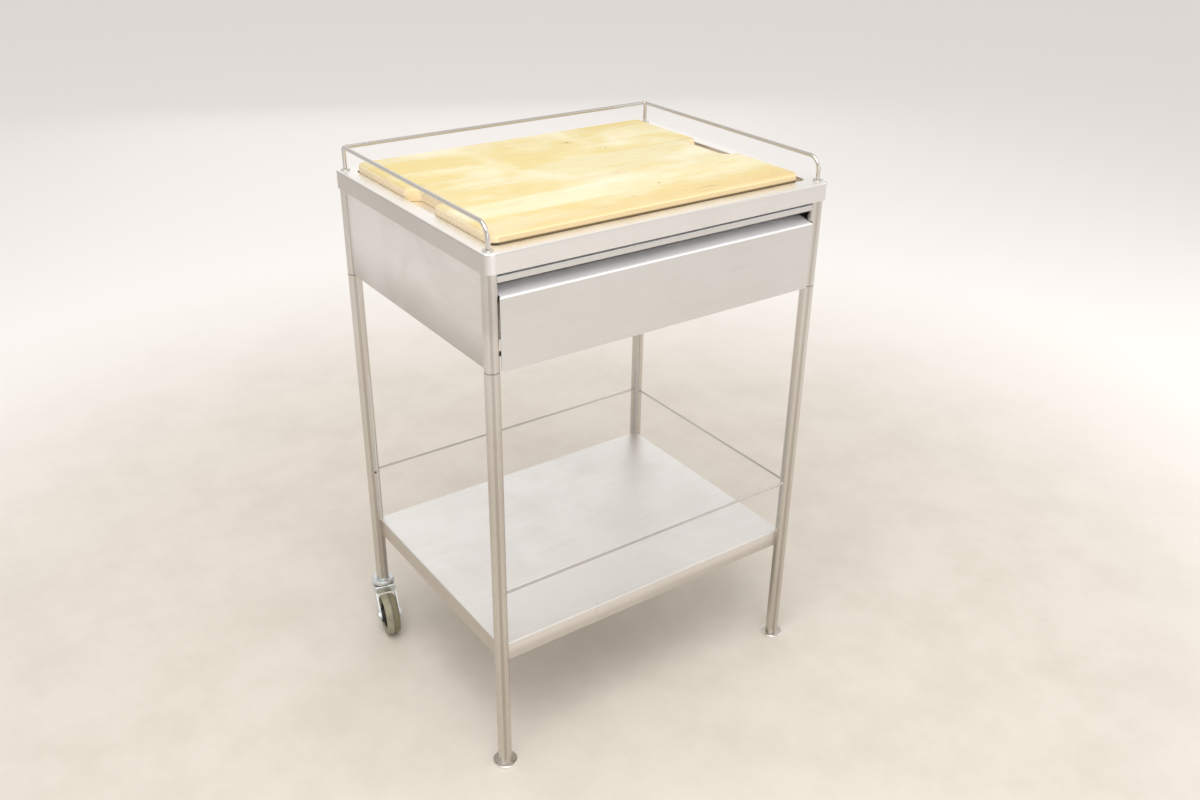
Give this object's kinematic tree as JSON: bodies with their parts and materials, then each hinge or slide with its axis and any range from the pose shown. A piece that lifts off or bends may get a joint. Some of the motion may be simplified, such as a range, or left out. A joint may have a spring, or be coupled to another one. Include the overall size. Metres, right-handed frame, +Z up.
{
  "type": "instrument cart",
  "caption": "Stainless instrument cart with a drawer, lift-out wooden board, guard rail, lower shelf, two fixed feet and two swivel casters.",
  "frame": {"origin": "centre of the cart's footprint, on the floor", "axes": "+X to the right along the drawer's front, +Y from the drawer's front to the back, +Z up"},
  "size_m": [0.6326, 0.4731, 0.896],
  "materials": {
    "sheet_steel": "brushed stainless sheet, satin",
    "tube_steel": "ground stainless tube, satin",
    "rod_steel": "bright drawn stainless rod",
    "foot_steel": "turned stainless, polished edge",
    "plain_steel": "plain turned steel, hidden",
    "zinc_plate": "bright zinc plate",
    "tyre_rubber": "worn grey-beige rubber",
    "wheel_plastic": "moulded dark centre",
    "nylon": "natural nylon",
    "black_rubber": "black rubber",
    "board_wood": "pale laminated wood, oiled and worn"
  },
  "bodies": {
    "frame": {"top_plate": "sheet_steel", "side_panel_left": "sheet_steel", "side_panel_right": "sheet_steel", "back_panel": "sheet_steel", "front_rail": "sheet_steel", "leg_joint_plugs": "plain_steel", "post_caps": "plain_steel", "lower_shelf": "sheet_steel", "guard_rail": "rod_steel", "guard_washers": "rod_steel", "runner_left": "sheet_steel", "runner_right": "sheet_steel", "drawer_buffers": "black_rubber", "post_front_left": "tube_steel", "leg_front_left": "tube_steel", "post_front_right": "tube_steel", "leg_front_right": "tube_steel", "post_back_left": "tube_steel", "leg_back_left": "tube_steel", "post_back_right": "tube_steel", "leg_back_right": "tube_steel", "shelf_rod_front": "rod_steel", "shelf_rod_back": "rod_steel", "shelf_rod_right": "rod_steel", "guard_post_left": "rod_steel", "guard_post_right": "rod_steel", "foot_left": "foot_steel", "foot_right": "foot_steel", "caster_stem_left": "zinc_plate", "caster_housing_left": "zinc_plate", "caster_plug_left": "black_rubber", "caster_stem_right": "zinc_plate", "caster_housing_right": "zinc_plate", "caster_plug_right": "black_rubber"},
    "drawer": {"drawer_front": "sheet_steel", "drawer_tray": "sheet_steel", "drawer_glide_left": "nylon", "drawer_glide_right": "nylon"},
    "board": {"work_board": "board_wood"},
    "swivel_left": {"caster_fork_left": "zinc_plate", "caster_race_left": "zinc_plate", "axle_bolt_left": "zinc_plate", "axle_nut_left": "zinc_plate", "axle_sleeve_left": "zinc_plate"},
    "wheel_left": {"wheel_core_left": "wheel_plastic", "wheel_tyre_left": "tyre_rubber"},
    "swivel_right": {"caster_fork_right": "zinc_plate", "caster_race_right": "zinc_plate", "axle_bolt_right": "zinc_plate", "axle_nut_right": "zinc_plate", "axle_sleeve_right": "zinc_plate"},
    "wheel_right": {"wheel_core_right": "wheel_plastic", "wheel_tyre_right": "tyre_rubber"}
  },
  "joints": [
    {"name": "drawer_slide", "type": "slide", "parent": "frame", "child": "drawer", "axis": [0, -1, 0], "range_m": [0, 0.33]},
    {"name": "board_lift", "type": "slide", "parent": "frame", "child": "board", "axis": [0, 0, 1], "range_m": [0, 0.2]},
    {"name": "caster_swivel_left", "type": "hinge", "parent": "frame", "child": "swivel_left", "pos_m": [-0.2871, 0.217, 0.0888], "axis": [0, 0, 1], "continuous": true},
    {"name": "caster_swivel_right", "type": "hinge", "parent": "frame", "child": "swivel_right", "pos_m": [0.2871, 0.217, 0.0888], "axis": [0, 0, 1], "continuous": true},
    {"name": "wheel_spin_left", "type": "hinge", "parent": "swivel_left", "child": "wheel_left", "pos_m": [-0.29458, 0.18179, 0.0375], "axis": [0.9781, -0.2079, 0], "continuous": true},
    {"name": "wheel_spin_right", "type": "hinge", "parent": "swivel_right", "child": "wheel_right", "pos_m": [0.29458, 0.18179, 0.0375], "axis": [0.9781, 0.2079, 0], "continuous": true}
  ]
}
